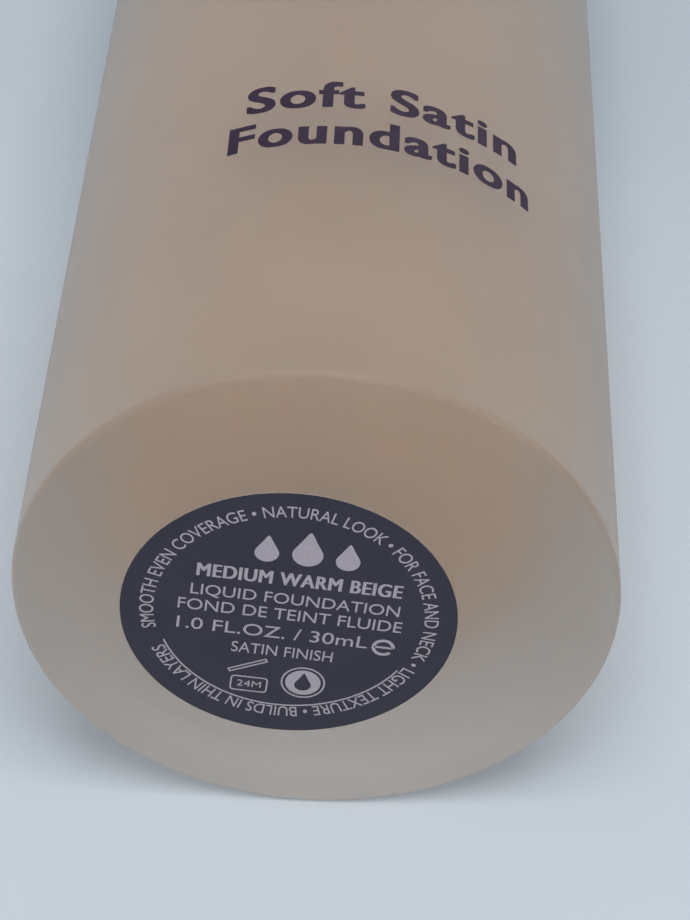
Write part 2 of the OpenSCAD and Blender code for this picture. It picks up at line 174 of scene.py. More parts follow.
class LabelSettings(bpy.types.PropertyGroup):
    """The round label under the base."""

    colour: FloatVectorProperty(
        name="Film colour", description="Colour of the printed film", subtype="COLOR", min=0, max=1,
        default=(0.031, 0.029, 0.052))
    ink: FloatVectorProperty(
        name="Ink colour", description="Colour of the letters", subtype="COLOR", min=0, max=1,
        default=(0.60, 0.53, 0.60))
    film: FloatProperty(
        name="Ink film", description="Thickness of the printed ink", default=0.012 * MM, unit="LENGTH")
    turn: FloatProperty(
        name="Turn", description="How far the label is turned, seen from below, counterclockwise",
        default=math.radians(4.0), subtype="ANGLE")


class SpringSettings(bpy.types.PropertyGroup):
    """The return spring in the pump's barrel."""

    wire: FloatProperty(
        name="Wire", description="Diameter of the spring's wire", default=0.55 * MM, unit="LENGTH")
    turns: FloatProperty(name="Turns", description="Turns of the spring, both closed ones counted", default=6)
    steps: IntProperty(name="Steps", description="Rings of points for each turn", default=64)
    sides: IntProperty(name="Sides", description="Points round the wire", default=16)


class PlasticSettings(bpy.types.PropertyGroup):
    """The moulded plastics of the pump, the collar and the overcap."""

    outside: FloatVectorProperty(
        name="Outer colour", description="Colour of the overcap, the collar and the button",
        subtype="COLOR", min=0, max=1, default=(0.030, 0.012, 0.026))
    inside: FloatVectorProperty(
        name="Inner colour", description="Colour of the pump's white pieces",
        subtype="COLOR", min=0, max=1, default=(0.80, 0.80, 0.77))


class GlassSettings(bpy.types.PropertyGroup):
    """The frosted glass."""

    tint: FloatVectorProperty(
        name="Tint", description="Colour of the glass", subtype="COLOR", min=0, max=1,
        default=(0.89, 0.90, 0.905))
    frosting: FloatProperty(
        name="Frosting", description="Roughness of the etched outside", default=0.62, subtype="FACTOR")
    clarity: FloatProperty(
        name="Clarity", description="Share of the light that passes in where the glass is seen square on",
        default=0.84, subtype="FACTOR")
    edge_clarity: FloatProperty(
        name="Edge clarity", description="Share of the light that passes in where the glass is seen edge on",
        default=0.56, subtype="FACTOR")


class StageSettings(bpy.types.PropertyGroup):
    """The floor, the light and the camera."""

    floor: FloatVectorProperty(
        name="Floor colour", description="Colour of the floor and the tabletop",
        subtype="COLOR", min=0, max=1, default=(0.78, 0.85, 0.92))
    sky: FloatVectorProperty(
        name="Front light", description="Colour of the even light from the front",
        subtype="COLOR", min=0, max=1, default=(0.27, 0.298, 0.323))
    bounce: FloatVectorProperty(
        name="Tabletop light", description="Colour of the even light from the tabletop's side",
        subtype="COLOR", min=0, max=1, default=(0.46, 0.50, 0.535))
    lean: FloatProperty(
        name="Tabletop turn", description="Turn of the tabletop about the bottle that lies on it",
        default=math.radians(-11.3), subtype="ANGLE")
    azimuth: FloatProperty(
        name="View azimuth", description="Angle of the view round the bottle", default=math.radians(-8.957),
        subtype="ANGLE")
    elevation: FloatProperty(
        name="View elevation", description="Angle of the view above the base", default=math.radians(-47.478),
        subtype="ANGLE")
    roll: FloatProperty(
        name="View roll", description="Turn of the camera about its own view", default=math.radians(3.177),
        subtype="ANGLE")
    distance: FloatProperty(
        name="View distance", description="Distance from the camera to its aim", default=152.21 * MM,
        unit="LENGTH")
    aim: FloatVectorProperty(
        name="Aim", description="Point that the camera looks at", subtype="TRANSLATION",
        default=(1.195 * MM, -0.188 * MM, 12.102 * MM), precision=5)
    lens: FloatProperty(name="Lens", description="Focal length in millimetres", default=100.55)


# ------------------------------------------------------------ mesh building


def new_piece(name, vertices, faces, material, smooth=True):
    """An object at the origin from an array of points and a list of faces."""
    mesh = bpy.data.meshes.new(name)
    mesh.from_pydata(vertices, [], faces)
    mesh.polygons.foreach_set("use_smooth", np.full(len(mesh.polygons), smooth))
    mesh.materials.append(material)
    mesh.validate()
    piece = bpy.data.objects.new(name, mesh)
    bpy.context.scene.collection.objects.link(piece)
    return piece


def grid_faces(rows, columns, closed_rows, closed_columns):
    """The quads between neighbouring points of a grid, whose rows or columns may run round in a ring."""
    i = np.arange(rows if closed_rows else rows - 1)[:, None]
    j = np.arange(columns if closed_columns else columns - 1)[None, :]
    i, j = np.broadcast_arrays(i, j)
    i_next, j_next = (i + 1) % rows, (j + 1) % columns
    quads = np.stack([i * columns + j, i * columns + j_next, i_next * columns + j_next,
                      i_next * columns + j], axis=-1)
    return quads.reshape(-1, 4)


def round_corner(centre_r, centre_z, radius, start, end, steps):
    """Points (r, z) along an arc: the centre plus the radius times the cosine and sine of even angles."""
    angle = np.radians(np.linspace(start, end, steps))
    return np.stack([centre_r + radius * np.cos(angle), centre_z + radius * np.sin(angle)], axis=1)


def lathe(profile, segments):
    """A closed profile carried round the Z axis: x = r cos(a), y = r sin(a), and z stays as it is."""
    angle = np.arange(segments) * 2 * np.pi / segments
    r, z = profile[:, 0:1], profile[:, 1:2]
    points = np.stack([r * np.cos(angle), r * np.sin(angle), z + 0 * angle], axis=-1)
    return points.reshape(-1, 3), grid_faces(len(profile), segments, True, True)


# ----------------------------------------------------------- material nodes


def node(tree, kind, inputs=None, **settings):
    """Adds a node. A value in inputs is a number or colour for that socket, or a socket to join to it."""
    made = tree.nodes.new(kind)
    for name, value in settings.items():
        setattr(made, name, value)
    for name, value in (inputs or {}).items():
        if isinstance(value, bpy.types.NodeSocket):
            tree.links.new(value, made.inputs[name])
        else:
            made.inputs[name].default_value = value
    return made


def new_material(name):
    """A material with no nodes yet, and its node tree."""
    material = bpy.data.materials.new(name)
    material.use_nodes = True
    material.node_tree.nodes.clear()
    return material, material.node_tree


def place_mm(tree, stretch=(1, 1, 1)):
    """The point being shaded, in the frame's axes and in millimetres, stretched along each axis."""
    coordinates = node(tree, "ShaderNodeTexCoord")
    scale = tuple(s / MM for s in stretch)
    return node(tree, "ShaderNodeMapping", {
        "Vector": coordinates.outputs["Object"], "Scale": scale}).outputs["Vector"]


def noise(tree, place, size, detail=3.0, rough=0.55, distortion=0.0):
    """Cloudy noise whose blotches are about size millimetres across."""
    return node(tree, "ShaderNodeTexNoise", {
        "Vector": place, "Scale": 1 / size, "Detail": detail, "Roughness": rough,
        "Distortion": distortion}).outputs["Fac"]


def spread(tree, value, low, high, from_low=0.3, from_high=0.7):
    """The value carried from one range to another and held inside it."""
    return node(tree, "ShaderNodeMapRange", {
        "Value": value, "From Min": from_low, "From Max": from_high,
        "To Min": low, "To Max": high}).outputs["Result"]


def blend_colours(tree, share, first, second):
    """The first colour, or another node's socket, where share is 0, and the second where it is 1."""
    first = first if isinstance(first, bpy.types.NodeSocket) else (*first, 1)
    colours = {"Factor": share, COLOUR_A: first, COLOUR_B: (*second, 1)}
    return node(tree, "ShaderNodeMix", colours, data_type="RGBA").outputs[COLOUR_OUT]


def shade(colour, amount):
    """A colour made lighter or darker by that factor."""
    return tuple(min(1.0, channel * amount) for channel in colour)


def clouded(tree, cloud, colour, low, high):
    """A colour that a cloud changes from one shade of it to another."""
    return blend_colours(tree, spread(tree, cloud, 0.0, 1.0), shade(colour, low), shade(colour, high))


def relief(tree, height, depth, strength=1.0, below=None):
    """A bump from a height of 0 to 1 that stands for depth millimetres."""
    inputs = {"Height": height, "Distance": depth * MM, "Strength": strength}
    if below is not None:
        inputs["Normal"] = below
    return node(tree, "ShaderNodeBump", inputs).outputs["Normal"]


def principled(tree, inputs):
    """The surface shader, joined to the material's output."""
    shader = node(tree, "ShaderNodeBsdfPrincipled", inputs)
    output = node(tree, "ShaderNodeOutputMaterial")
    tree.links.new(shader.outputs["BSDF"], output.inputs["Surface"])
    return shader


def scratches(tree, spacing, width):
    """Fine straight marks: flat cuts through the piece where a cloud along a line crosses its middle height.
    A second cloud breaks them up, and there are two sets, each with its own slant."""
    place = place_mm(tree)
    marks = []
    for way, size in SCRATCH_SETS:
        along = node(tree, "ShaderNodeVectorMath", {0: place, 1: way},
                     operation="DOT_PRODUCT").outputs["Value"]
        lines = node(tree, "ShaderNodeTexNoise", {"W": along, "Scale": 1 / spacing, "Detail": 1.0},
                     noise_dimensions="1D").outputs["Fac"]
        off_middle = node(tree, "ShaderNodeMath", {0: lines, 1: 0.5}, operation="SUBTRACT").outputs[0]
        distance = node(tree, "ShaderNodeMath", {0: off_middle}, operation="ABSOLUTE").outputs[0]
        mark = spread(tree, distance, 1.0, 0.0, 0.0, width)
        patches = spread(tree, noise(tree, place, spacing * size), 0.0, 1.0, 0.52, 0.62)
        marks.append(node(tree, "ShaderNodeMath", {0: mark, 1: patches}, operation="MULTIPLY").outputs[0])
    return node(tree, "ShaderNodeMath", {0: marks[0], 1: marks[1]}, operation="MAXIMUM").outputs[0]


def frosted_glass(settings):
    """Glass etched to a satin grain, a little clearer where fingers have touched it."""
    material, tree = new_material("frosted_glass")
    place = place_mm(tree)
    cloud = noise(tree, place, 6.0, detail=2.0)
    grain = noise(tree, place, 0.06, detail=2.0)
    touched = spread(tree, noise(tree, place, 9.0, detail=4.0, distortion=0.6), 0.0, 0.05, 0.5, 0.66)
    even = spread(tree, grain, settings.frosting - 0.03, settings.frosting + 0.03)
    roughness = node(tree, "ShaderNodeMath", {0: even, 1: touched}, operation="SUBTRACT").outputs[0]
    tint = clouded(tree, cloud, settings.tint, 0.97, 1.0)
    edge = node(tree, "ShaderNodeLayerWeight", {"Blend": 0.5}).outputs["Facing"]
    principled(tree, {
        "Base Color": tint,
        "Roughness": roughness,
        "IOR": 1.5,
        "Transmission Weight": spread(tree, edge, settings.clarity, settings.edge_clarity, 0.35, 1.0),
        "Normal": relief(tree, grain, 0.004, 0.6)})
    return material


def foundation(settings):
    """Thick liquid that light sinks into, with faint streaks of pigment where it has settled."""
    material, tree = new_material("foundation")
    place = place_mm(tree, (1, 1, 0.45))
    streaks = noise(tree, place, 7.0, detail=4.0, distortion=1.2)
    fine = noise(tree, place_mm(tree), 0.5, detail=2.0)
    principled(tree, {
        "Base Color": clouded(tree, streaks, settings.colour, 0.94, 1.05),
        "Roughness": spread(tree, fine, 0.30, 0.42),
        "Subsurface Weight": 1.0,
        "Subsurface Radius": (1.0, 0.75, 0.55),
        "Subsurface Scale": 2 * MM,
        "Normal": relief(tree, streaks, 0.05, 0.4)})
    return material


def side_ink(settings):
    """Screen-printed ink: satin, with the mesh's faint grain."""
    material, tree = new_material("print_ink")
    place = place_mm(tree)
    grain = noise(tree, place, 0.09, detail=3.0)
    cloud = noise(tree, place, 1.8, detail=2.0)
    principled(tree, {
        "Base Color": clouded(tree, cloud, settings.colour, 0.85, 1.35),
        "Roughness": spread(tree, grain, 0.38, 0.56),
        "Specular IOR Level": 0.4,
        "Normal": relief(tree, grain, 0.004, 0.5)})
    return material


def label_film(settings):
    """Dark printed film with a satin lacquer, fine specks and a few rubs, and white adhesive on its back."""
    material, tree = new_material("label_film")
    place = place_mm(tree)
    cloud = noise(tree, place, 3.5, detail=3.0)
    specks = spread(tree, noise(tree, place, 0.12, detail=2.0), 0.0, 1.0, 0.40, 0.75)
    rubs = scratches(tree, 2.4, 0.012)
    base = clouded(tree, cloud, settings.colour, 0.86, 1.16)
    worn = blend_colours(tree, spread(tree, specks, 0.0, 0.16, 0.0, 1.0), base, shade(settings.colour, 2.4))
    height = node(tree, "ShaderNodeSeparateXYZ", {"Vector": place}).outputs["Z"]
    top = LABEL_HIGH.z / MM
    on_back = spread(tree, height, 0.0, 1.0, top - ADHESIVE_FOOT, top - ADHESIVE_TOP)
    principled(tree, {
        "Base Color": blend_colours(tree, on_back, worn, ADHESIVE),
        "Roughness": spread(tree, specks, 0.36, 0.50, 0.0, 1.0),
        "Specular IOR Level": 0.45,
        "Normal": relief(tree, rubs, 0.004, 0.5, relief(tree, specks, 0.003, 0.4))})
    return material


def label_ink(settings):
    """The label's pale lettering, where a little of the dark film shows through."""
    material, tree = new_material("label_ink")
    place = place_mm(tree)
    specks = noise(tree, place, 0.10, detail=2.0)
    principled(tree, {
        "Base Color": clouded(tree, specks, settings.ink, 0.84, 1.08),
        "Roughness": spread(tree, specks, 0.40, 0.55),
        "Normal": relief(tree, specks, 0.003, 0.4)})
    return material


def polished_plastic(settings):
    """Dark polished moulding: a lacquer-like gloss, faint orange peel, fine scratches and finger smudges."""
    material, tree = new_material("plum_plastic")
    place = place_mm(tree)
    peel = noise(tree, place, 0.9, detail=2.0)
    smudges = noise(tree, place, 7.0, detail=4.0, distortion=0.8)
    hairlines = scratches(tree, 4.0, 0.005)
    colour = clouded(tree, smudges, settings.outside, 0.9, 1.25)
    base = spread(tree, smudges, 0.14, 0.24, 0.42, 0.66)
    roughness = node(tree, "ShaderNodeMath", {0: hairlines, 1: 0.12, 2: base},
                     operation="MULTIPLY_ADD").outputs[0]
    principled(tree, {
        "Base Color": colour,
        "Roughness": roughness,
        "IOR": 1.49,
        "Coat Weight": 0.35,
        "Coat Roughness": 0.06,
        "Normal": relief(tree, hairlines, 0.003, 0.25, relief(tree, peel, 0.010, 0.35))})
    return material


def white_plastic(settings):
    """White moulding: an even satin with the mould's faint flow and fine grain."""
    material, tree = new_material("white_plastic")
    place = place_mm(tree)
    flow = noise(tree, place_mm(tree, (1, 1, 0.3)), 3.0, detail=3.0)
    grain = noise(tree, place, 0.08, detail=2.0)
    principled(tree, {
        "Base Color": clouded(tree, flow, settings.inside, 0.95, 1.0),
        "Roughness": spread(tree, grain, 0.34, 0.46),
        "Subsurface Weight": 0.12,
        "Subsurface Scale": 0.4 * MM,
        "Normal": relief(tree, grain, 0.003, 0.4)})
    return material


def natural_plastic():
    """Uncoloured moulding that lets some light through, with flow lines."""
    material, tree = new_material("natural_plastic")
    flow = noise(tree, place_mm(tree, (1, 1, 0.2)), 2.2, detail=3.0)
    grain = noise(tree, place_mm(tree), 0.1, detail=2.0)
    colour = blend_colours(tree, spread(tree, flow, 0.0, 1.0), (0.76, 0.79, 0.79), (0.86, 0.88, 0.87))
    principled(tree, {
        "Base Color": colour,
        "Roughness": spread(tree, grain, 0.30, 0.42),
        "IOR": 1.49,
        "Transmission Weight": 0.35,
        "Normal": relief(tree, flow, 0.006, 0.4)})
    return material


def gasket_foam():
    """Closed-cell foam: small round cells, with painted shade that makes each cell's hollow darker and the
    walls between them paler.
    """
    material, tree = new_material("gasket_foam")
    cells = node(tree, "ShaderNodeTexVoronoi", {"Vector": place_mm(tree), "Scale": 5.0},
                 feature="SMOOTH_F1").outputs["Distance"]
    # Painted shade: the colour follows the cells' depth, darker in each hollow where the bump is low and
    # paler on the raised walls
    colour = blend_colours(tree, spread(tree, cells, 0.0, 1.0, 0.1, 0.6), (0.70, 0.70, 0.67),
                           (0.85, 0.85, 0.82))
    principled(tree, {
        "Base Color": colour,
        "Roughness": spread(tree, cells, 0.60, 0.78, 0.1, 0.6),
        "Normal": relief(tree, cells, 0.05, 0.5)})
    return material


def bright_steel():
    """Drawn steel: fine lines along the wire and a slight change of polish."""
    material, tree = new_material("steel")
    lines = noise(tree, place_mm(tree, (1, 1, 9)), 0.5, detail=3.0)
    cloud = noise(tree, place_mm(tree), 0.8, detail=2.0)
    colour = blend_colours(tree, spread(tree, cloud, 0.0, 1.0), (0.52, 0.53, 0.55), (0.66, 0.67, 0.69))
    principled(tree, {
        "Base Color": colour,
        "Metallic": 1.0,
        "Roughness": spread(tree, lines, 0.16, 0.32),
        "Normal": relief(tree, lines, 0.003, 0.4)})
    return material


def finish_node(name, material):
    """Gives a CAD node's own mesh that material."""
    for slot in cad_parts[name].material_slots:
        slot.material = material


# ------------------------------------------------------------------ letters


def letters(words, grow=0.0, space=1.0):
    """Letters of size 1 as a mesh, with their feet on y = 0, filled and one unit thick."""
    curve = bpy.data.curves.new("letters", "FONT")
    curve.body = words
    curve.size = 1
    curve.offset = grow
    curve.space_character = space
    curve.extrude = 0.5
    curve.resolution_u = 6
    writing = bpy.data.objects.new("letters", curve)
    bpy.context.scene.collection.objects.link(writing)
    bpy.context.view_layer.update()
    mesh = bpy.data.meshes.new_from_object(writing.evaluated_get(bpy.context.evaluated_depsgraph_get()))
    bpy.data.objects.remove(writing)
    bpy.data.curves.remove(curve)
    return mesh


def points_of(mesh):
    """The mesh's points as an array."""
    points = np.zeros(len(mesh.vertices) * 3, np.float32)
    mesh.vertices.foreach_get("co", points)
    return points.reshape(-1, 3).astype(float)


def put_points(mesh, points):
    """Moves the mesh's points to the array's places."""
    mesh.vertices.foreach_set("co", points.astype(np.float32).ravel())


def capital_height():
    """Height of a capital letter in letters of size 1."""
    mesh = letters("H")
    height = points_of(mesh)[:, 1].max()
    bpy.data.meshes.remove(mesh)
    return height


def slice_across(mesh, step):
    """Cuts the mesh by planes across x at even steps, so that it can bend smoothly."""
    x = points_of(mesh)[:, 0]
    work = bmesh.new()
    work.from_mesh(mesh)
    bmesh.ops.remove_doubles(work, verts=work.verts, dist=1e-5)
    for cut in np.arange(math.ceil(x.min() / step) * step, x.max(), step):
        geometry = list(work.verts) + list(work.edges) + list(work.faces)
        bmesh.ops.bisect_plane(work, geom=geometry, plane_co=(cut, 0, 0), plane_no=(1, 0, 0), dist=1e-6)
    bmesh.ops.triangulate(work, faces=work.faces)
    work.to_mesh(mesh)
    work.free()


def struck(mesh, bold):
    """Widens upright strokes: copies of the letters lie a short way apart in x, each a little lower."""
    points = points_of(mesh)
    work = bmesh.new()
    for k in range(STRIKES):
        put_points(mesh, points + (bold * (k / (STRIKES - 1) - 0.5), 0, -STRIKE_DROP * k))
        work.from_mesh(mesh)
    work.to_mesh(mesh)
    work.free()


def line_of_letters(words, width, capital, bold=0.0, grow=0.0, space=1.0, step=None):
    """A line of letters in metres, centred on x = 0, feet on y = 0, and z from 0 to 1 through the ink."""
    mesh = letters(words, grow, space)
    points = points_of(mesh)
    low, high = points[:, 0].min(), points[:, 0].max()
    points[:, 0] = (points[:, 0] - (low + high) / 2) * (width - bold) / (high - low)
    points[:, 1] *= capital / capital_height()
    points[:, 2] += 0.5
    put_points(mesh, points)
    if bold:
        struck(mesh, bold)
    if step:
        slice_across(mesh, step)
    return mesh


def wrap_round(mesh, radius, height, film):
    """Bends letters round the glass: x becomes the angle x / radius from -Y, y the height, z the depth."""
    points = points_of(mesh)
    angle = points[:, 0] / radius
    r = radius + film * (points[:, 2] - INK_BITE)
    put_points(mesh, np.stack([r * np.sin(angle), -r * np.cos(angle), height + points[:, 1]], axis=1))
    return mesh


def joined_piece(name, meshes, material):
    """Meshes joined into one object at the origin, flat-shaded, with their faces turned outwards."""
    work = bmesh.new()
    for mesh in meshes:
        work.from_mesh(mesh)
        bpy.data.meshes.remove(mesh)
    bmesh.ops.remove_doubles(work, verts=work.verts, dist=1e-7)
    bmesh.ops.recalc_face_normals(work, faces=work.faces)
    made = bpy.data.meshes.new(name)
    work.to_mesh(made)
    work.free()
    made.materials.append(material)
    piece = bpy.data.objects.new(name, made)
    bpy.context.scene.collection.objects.link(piece)
    return piece


def under_label(points, film, turn):
    """Lays label drawings, x to the right and y up as read, on the label's underside, seen from below."""
    cos, sin = math.cos(turn), math.sin(turn)
    x = points[:, 0] * cos - points[:, 1] * sin
    y = points[:, 0] * sin + points[:, 1] * cos
    z = LABEL_LOW.z - film * (points[:, 2] - INK_BITE)
    return np.stack([LABEL_CENTRE.x + x, LABEL_CENTRE.y - y, z], axis=1)


def ring_of_letters(words, foot_r, capital, start, sweep):
    """Letters round a ring, tops outwards: x becomes an angle clockwise from start, y adds to the radius."""
    arc = sweep * (foot_r + capital / 2)
    mesh = line_of_letters(words, arc, capital, step=RING_CUT)
    points = points_of(mesh)
    angle = start - (points[:, 0] / arc + 0.5) * sweep
    r = foot_r + points[:, 1]
    put_points(mesh, np.stack([r * np.cos(angle), r * np.sin(angle), points[:, 2]], axis=1))
    return mesh


def ribbon(path, width, closed=False):
    """A flat line of even width along a path in x and y: each point is moved half the width to each side."""
    path = np.asarray(path, float)
    ahead = np.roll(path, -1, axis=0) - path
    behind = path - np.roll(path, 1, axis=0)
    if not closed:
        ahead[-1], behind[0] = behind[-1], ahead[0]
    ahead /= np.linalg.norm(ahead, axis=1)[:, None]
    behind /= np.linalg.norm(behind, axis=1)[:, None]
    along = ahead + behind
    along /= np.linalg.norm(along, axis=1)[:, None]
    side = np.stack([-along[:, 1], along[:, 0]], axis=1) * width / 2
    side /= np.sum(along * ahead, axis=1)[:, None]
    ring = np.stack([np.c_[path + side, np.zeros(len(path))], np.c_[path - side, np.zeros(len(path))],
                     np.c_[path - side, np.ones(len(path))], np.c_[path + side, np.ones(len(path))]], axis=1)
    faces = grid_faces(len(path), 4, closed, True).tolist()
    if not closed:
        last = (len(path) - 1) * 4
        faces += [[3, 2, 1, 0], [last, last + 1, last + 2, last + 3]]
    mesh = bpy.data.meshes.new("ribbon")
    mesh.from_pydata(ring.reshape(-1, 3), [], faces)
    return mesh


def plate(outline):
    """A flat shape filled inside its outline, one unit of ink thick."""
    outline = np.asarray(outline, float)
    count = len(outline)
    points = np.concatenate([np.c_[outline, np.zeros(count)], np.c_[outline, np.ones(count)]])
    k = np.arange(count)
    walls = np.stack([k, (k + 1) % count, (k + 1) % count + count, k + count], axis=1).tolist()
    mesh = bpy.data.meshes.new("plate")
    mesh.from_pydata(points, [], [k[::-1].tolist(), (k + count).tolist()] + walls)
    return mesh


def pierced_plate(outline, hole):
    """A flat ring of ink between two outlines with the same number of points, both counterclockwise."""
    outline, hole = np.asarray(outline, float), np.asarray(hole, float)
    count = len(outline)
    rows = [np.c_[hole, np.zeros(count)], np.c_[outline, np.zeros(count)],
            np.c_[outline, np.ones(count)], np.c_[hole, np.ones(count)]]
    mesh = bpy.data.meshes.new("pierced_plate")
    mesh.from_pydata(np.concatenate(rows), [], grid_faces(4, count, True, True).tolist())
    return mesh


def arc_points(centre, radius, start, end, count):
    """Points along an arc in x and y, at even angles from start to end."""
    angle = np.linspace(start, end, count)
    return np.stack([centre[0] + radius * np.cos(angle), centre[1] + radius * np.sin(angle)], axis=1)


def rounded_box(low, high, corner, count=6):
    """The outline of a rectangle with its corners rounded, counterclockwise."""
    centres = [(high[0], low[1], 1, -1, -90), (high[0], high[1], 1, 1, 0),
               (low[0], high[1], -1, 1, 90), (low[0], low[1], -1, -1, 180)]
    return np.concatenate([
        arc_points((x - sx * corner, y - sy * corner), corner, math.radians(a), math.radians(a + 90), count)
        for x, y, sx, sy, a in centres])


def droplet(centre, radius, tip, count=32):
    """A drop's outline: a circle whose top half narrows by the sine's cube and rises by its fourth power."""
    angle = np.linspace(0, 2 * np.pi, count, endpoint=False)
    up = np.clip(np.sin(angle), 0, 1)
    x = centre[0] + radius * np.cos(angle) * (1 - 0.45 * up ** 3)
    y = centre[1] + radius * np.sin(angle) + tip * up ** 4
    return np.stack([x, y], axis=1)


def moved(mesh, x, y):
    """The mesh shifted in x and y."""
    points = points_of(mesh)
    points[:, :2] += (x, y)
    put_points(mesh, points)
    return mesh


def label_line(words, left, right, foot, capital, bold=0.0, space=1.0):
    """One straight line of label letters between two places, in millimetres from the label's middle."""
    mesh = line_of_letters(words, (right - left) * MM, capital * MM, bold * MM, space=space)
    return moved(mesh, (left + right) / 2 * MM, foot * MM)


# ------------------------------------------------------------------- pieces


class FOUNDATION_OT_frost_glass(bpy.types.Operator):
    """Finishes the glass"""

    bl_idname = "foundation.frost_glass"
    bl_label = "Frost the glass"

    def execute(self, context):
        finish_node("glass_bottle", frosted_glass(context.scene.bottle_glass))
        return {"FINISHED"}


class FOUNDATION_OT_fill_liquid(bpy.types.Operator):
    """Fills the cavity with foundation, wetting the glass and standing a little higher at its walls"""

    bl_idname = "foundation.fill_liquid"
    bl_label = "Fill the bottle"

    def execute(self, context):
        settings = context.scene.bottle_liquid
        outer = FILL_HIGH.x + settings.wetting
        floor = FILL_LOW.z - settings.wetting
        top = FILL_HIGH.z
        barrel = settings.barrel + settings.channel
        tube = (TUBE_HIGH.x - TUBE_LOW.x) / 2 + settings.channel
        # The surface: level in the middle, and rising towards each wall as a falling power of e
        r = np.linspace(outer, barrel, SURFACE_POINTS)
        reach = settings.meniscus
        climb = np.exp(-(outer - r) / reach) + BARREL_CLIMB * np.exp(-(r - barrel) / reach)
        surface = np.stack([r, top - reach + reach * climb], axis=1)
        bend = settings.corner
        corner = round_corner(outer - bend, floor + bend, bend, -90, 0, CORNER_POINTS)
        rise = np.linspace(floor + bend, top, WALL_POINTS + 2)[1:-1]
        wall = np.stack([np.full(WALL_POINTS, outer), rise], axis=1)
        # The channel follows the barrel and the tube, and goes on below the tube at half its width
        step_z = PUMP_LOW.z - settings.channel
        low_z = TUBE_LOW.z - settings.channel
        core = tube / 2
        channel = np.array([[barrel, step_z], [tube, step_z], [tube, low_z], [core, low_z - 0.2 * MM]])
        bottom = np.array([[core, floor], [(outer - bend) * 0.6, floor]])
        profile = np.concatenate([bottom, corner, wall, surface, channel])
        points, faces = lathe(profile, ROUND_POINTS)
        liquid = new_piece("liquid_foundation", points, faces.tolist(), foundation(settings))
        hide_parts("foundation_fill")
        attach(liquid, "bottle")
        return {"FINISHED"}


class FOUNDATION_OT_print_side(bpy.types.Operator):
    """Prints the two lines on the front of the glass"""

    bl_idname = "foundation.print_side"
    bl_label = "Print the side"

    def execute(self, context):
        settings = context.scene.bottle_print
        ink = side_ink(settings)
        lines = [("side_print_upper", settings.first_words, settings.first_width, settings.first_height),
                 ("side_print_lower", settings.second_words, settings.second_width, settings.second_height)]
        for name, words, width, height in lines:
            mesh = line_of_letters(
                words, width, settings.capital, settings.bold, settings.grow, settings.space, step=SIDE_CUT)
            piece = joined_piece(name, [wrap_round(mesh, BODY_R, height, settings.film)], ink)
            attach(piece, "bottle")
        return {"FINISHED"}


class FOUNDATION_OT_print_label(bpy.types.Operator):
    """Finishes the label under the base and prints its lines, ring of words and signs"""

    bl_idname = "foundation.print_label"
    bl_label = "Print the label"

    def execute(self, context):
        settings = context.scene.bottle_label
        finish_node("base_label", label_film(settings))
        # The film is thin enough to glow through, so the light inside the glass does not meet it
        for ray in ("diffuse", "glossy", "transmission", "shadow"):
            setattr(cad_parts["base_label"], "visible_" + ray, False)
        ink = label_ink(settings)
        groups = {"label_words": self.words(), "label_ring": self.ring(), "label_signs": self.signs()}
        for name, meshes in groups.items():
            for mesh in meshes:
                put_points(mesh, under_label(points_of(mesh), settings.film, settings.turn))
            piece = joined_piece(name, meshes, ink)
            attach(piece, "bottle")
        return {"FINISHED"}

    def words(self):
        """The straight lines of words, from the top down."""
        return [
            label_line("MEDIUM WARM BEIGE", -5.45, 6.05, 2.53, 0.98, 0.085, 1.08),
            label_line("LIQUID FOUNDATION", -5.65, 6.1, 1.05, 0.82),
            label_line("FOND DE TEINT FLUIDE", -6.26, 6.4, -0.21, 0.85),
            label_line("1.0 FL.OZ. / 30mL", -6.2, 4.65, -1.77, 0.9),
            label_line("SATIN FINISH", -2.95, 2.84, -3.24, 0.82),
            label_line("24M", -2.35, -0.95, -6.07, 0.5)]

    def ring(self):
        """The words round the edge, and the thin line inside their lower half."""
        words = ("SMOOTH EVEN COVERAGE • NATURAL LOOK • FOR FACE AND NECK • "
                 "LIGHT TEXTURE • BUILDS IN THIN LAYERS")
        tilt, lift = math.radians(7.3), 0.17 * MM
        turned = ring_of_letters(words, 7.62 * MM, 0.8 * MM, math.radians(189) + tilt, math.radians(349))
        arc = arc_points((0, lift), 7.49 * MM, math.radians(-163) + tilt, math.radians(-35) + tilt, 97)
        return [moved(turned, 0, lift), ribbon(arc, 0.1 * MM)]

    def signs(self):
        """Three drops, the sign beside the volume, an open jar and a round emblem with a drop cut out."""
        # The drops: x, y, radius and how far the tip is drawn out
        places = ((-1.75, 4.88, 0.68, 0.65), (0.5, 5.05, 0.86, 0.85), (2.75, 4.88, 0.68, 0.65))
        drops = [plate(droplet((x * MM, y * MM), r * MM, tip * MM)) for x, y, r, tip in places]
        # The sign beside the volume is an open ring with a bar across it
        bow = ribbon(arc_points((5.58 * MM, -1.55 * MM), 0.56 * MM, 0, math.radians(318), 49), 0.20 * MM)
        bar = ribbon(np.array([[5.04, -1.55], [6.12, -1.55]]) * MM, 0.14 * MM)
        # The jar and its lifted lid are drawn with one stroke
        stroke = 0.09 * MM
        sides = rounded_box((-2.7 * MM, -6.42 * MM), (-0.62 * MM, -5.25 * MM), 0.2 * MM)
        jar = ribbon(sides, stroke, True)
        edges = np.array([[-2.95, -4.72], [-0.9, -3.62], [-0.8, -3.82], [-2.85, -4.92]]) * MM
        lid = ribbon(edges, stroke, True)
        # The emblem is a thin rim round a disc
        middle = (1.42 * MM, -5.22 * MM)
        rim = ribbon(arc_points(middle, 1.23 * MM, 0, 2 * np.pi, 65)[:-1], 0.10 * MM, True)
        disc = pierced_plate(arc_points(middle, 1.02 * MM, 0, 2 * np.pi, 49)[:-1],
                             droplet((1.42 * MM, -5.42 * MM), 0.48 * MM, 0.50 * MM, 48))
        return drops + [bow, bar, jar, lid, rim, disc]


